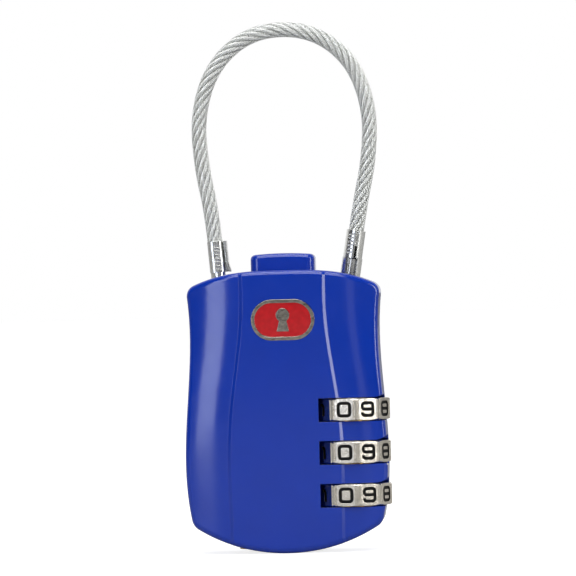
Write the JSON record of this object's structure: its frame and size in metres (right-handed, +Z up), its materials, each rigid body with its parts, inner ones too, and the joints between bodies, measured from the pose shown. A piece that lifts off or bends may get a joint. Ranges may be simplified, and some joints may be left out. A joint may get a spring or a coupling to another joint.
{
  "type": "luggage combination padlock",
  "caption": "Flat waisted combination padlock with side-turned number dials, a top release button, a key-override plug below and a coated wire cable loop.",
  "frame": {"origin": "under the middle of the housing, level with its lowest point", "axes": "+X to the right seen from the dial side, -Y the front with the badge and the dial windows, +Z up through the cable loop"},
  "size_m": [0.0325, 0.0134, 0.0843],
  "materials": {
    "blue_paint": "glossy royal blue lacquer",
    "nickel": "bright nickel plate",
    "red_enamel": "glossy enamel fill",
    "steel": "turned steel",
    "crimp_steel": "plated sheet steel, crimped",
    "spring_steel": "spring wire",
    "rope_steel": "bright stranded wire",
    "clear_vinyl": "clear glossy vinyl coating",
    "zinc": "as-cast zinc alloy",
    "brass": "machined"
  },
  "bodies": {
    "housing": {"front_cover": "blue_paint", "rear_cover": "blue_paint", "cover_pins": "steel", "badge": "nickel", "badge_enamel": "red_enamel", "detent_spring": "spring_steel", "button_spring": "spring_steel", "spindle_spring": "spring_steel", "latch_clip": "spring_steel", "socket_block": "zinc", "anchor_block": "zinc", "captive_stud": "steel", "captive_ferrule": "crimp_steel", "cable_core": "rope_steel", "cable_jacket": "clear_vinyl", "key_cylinder": "brass", "reset_spring": "spring_steel"},
    "release": {"release_button": "blue_paint", "release_bridge": "steel", "spindle": "steel"},
    "reset": {"reset_plunger": "steel", "reset_comb": "steel"},
    "key": {"key_plug": "brass", "plug_retainer": "spring_steel", "key_cam": "steel"},
    "override": {"override_bar": "steel"},
    "free_terminal": {"free_stud": "steel", "free_ferrule": "crimp_steel"},
    "dial_1": {"dial_1": "nickel"},
    "sleeve_1": {"gate_sleeve_1": "brass"},
    "dial_2": {"dial_2": "nickel"},
    "sleeve_2": {"gate_sleeve_2": "brass"},
    "dial_3": {"dial_3": "nickel"},
    "sleeve_3": {"gate_sleeve_3": "brass"},
    "wafer_1": {"wafer_1": "brass"},
    "wafer_2": {"wafer_2": "brass"},
    "wafer_3": {"wafer_3": "brass"},
    "wafer_4": {"wafer_4": "brass"}
  },
  "joints": [
    {"name": "release_press", "type": "slide", "parent": "housing", "child": "release", "axis": [0, 0, -1], "range_m": [0, 0.0013], "stiffness_N_per_m": 600, "deforming": ["button_spring", "spindle_spring", "latch_clip"]},
    {"name": "reset_press", "type": "slide", "parent": "housing", "child": "reset", "axis": [0, 0, -1], "range_m": [0, 0.0012], "stiffness_N_per_m": 400, "deforming": ["reset_spring"]},
    {"name": "key_turn", "type": "hinge", "parent": "housing", "child": "key", "pos_m": [-0.005, 0, 0.0006], "axis": [0, 0, 1], "range_deg": [0, 90]},
    {"name": "override_lift", "type": "slide", "parent": "housing", "child": "override", "axis": [0, 0, 1], "range_m": [0, 0.0013], "deforming": ["latch_clip"]},
    {"name": "free_terminal_pull", "type": "slide", "parent": "housing", "child": "free_terminal", "axis": [0, 0, 1], "range_m": [0, 0.012], "deforming": ["cable_core", "cable_jacket", "latch_clip"]},
    {"name": "dial_1_turn", "type": "hinge", "parent": "housing", "child": "dial_1", "pos_m": [0.0102, -0.0007, 0.0225], "axis": [0, 0, 1], "continuous": true},
    {"name": "sleeve_1_shift", "type": "slide", "parent": "dial_1", "child": "sleeve_1", "axis": [0, 0, -1], "range_m": [0, 0.0012]},
    {"name": "dial_2_turn", "type": "hinge", "parent": "housing", "child": "dial_2", "pos_m": [0.0102, -0.0007, 0.01574], "axis": [0, 0, 1], "continuous": true},
    {"name": "sleeve_2_shift", "type": "slide", "parent": "dial_2", "child": "sleeve_2", "axis": [0, 0, -1], "range_m": [0, 0.0012]},
    {"name": "dial_3_turn", "type": "hinge", "parent": "housing", "child": "dial_3", "pos_m": [0.0102, -0.0007, 0.00898], "axis": [0, 0, 1], "continuous": true},
    {"name": "sleeve_3_shift", "type": "slide", "parent": "dial_3", "child": "sleeve_3", "axis": [0, 0, -1], "range_m": [0, 0.0012]},
    {"name": "wafer_1_slide", "type": "slide", "parent": "key", "child": "wafer_1", "axis": [0, 1, 0], "range_m": [0, 0.0005], "stiffness_N_per_m": 40},
    {"name": "wafer_2_slide", "type": "slide", "parent": "key", "child": "wafer_2", "axis": [0, -1, 0], "range_m": [0, 0.0005]},
    {"name": "wafer_3_slide", "type": "slide", "parent": "key", "child": "wafer_3", "axis": [0, 1, 0], "range_m": [0, 0.0005]},
    {"name": "wafer_4_slide", "type": "slide", "parent": "key", "child": "wafer_4", "axis": [0, -1, 0], "range_m": [0, 0.0005]}
  ],
  "couplings": [
    {"joint": "key_turn", "follows": "override_lift", "rad_per_m": 1208.2},
    {"joint": "sleeve_1_shift", "follows": "reset_press", "ratio": 1},
    {"joint": "sleeve_2_shift", "follows": "reset_press", "ratio": 1},
    {"joint": "sleeve_3_shift", "follows": "reset_press", "ratio": 1},
    {"joint": "wafer_2_slide", "follows": "wafer_1_slide", "ratio": 1},
    {"joint": "wafer_3_slide", "follows": "wafer_1_slide", "ratio": 1},
    {"joint": "wafer_4_slide", "follows": "wafer_1_slide", "ratio": 1}
  ]
}
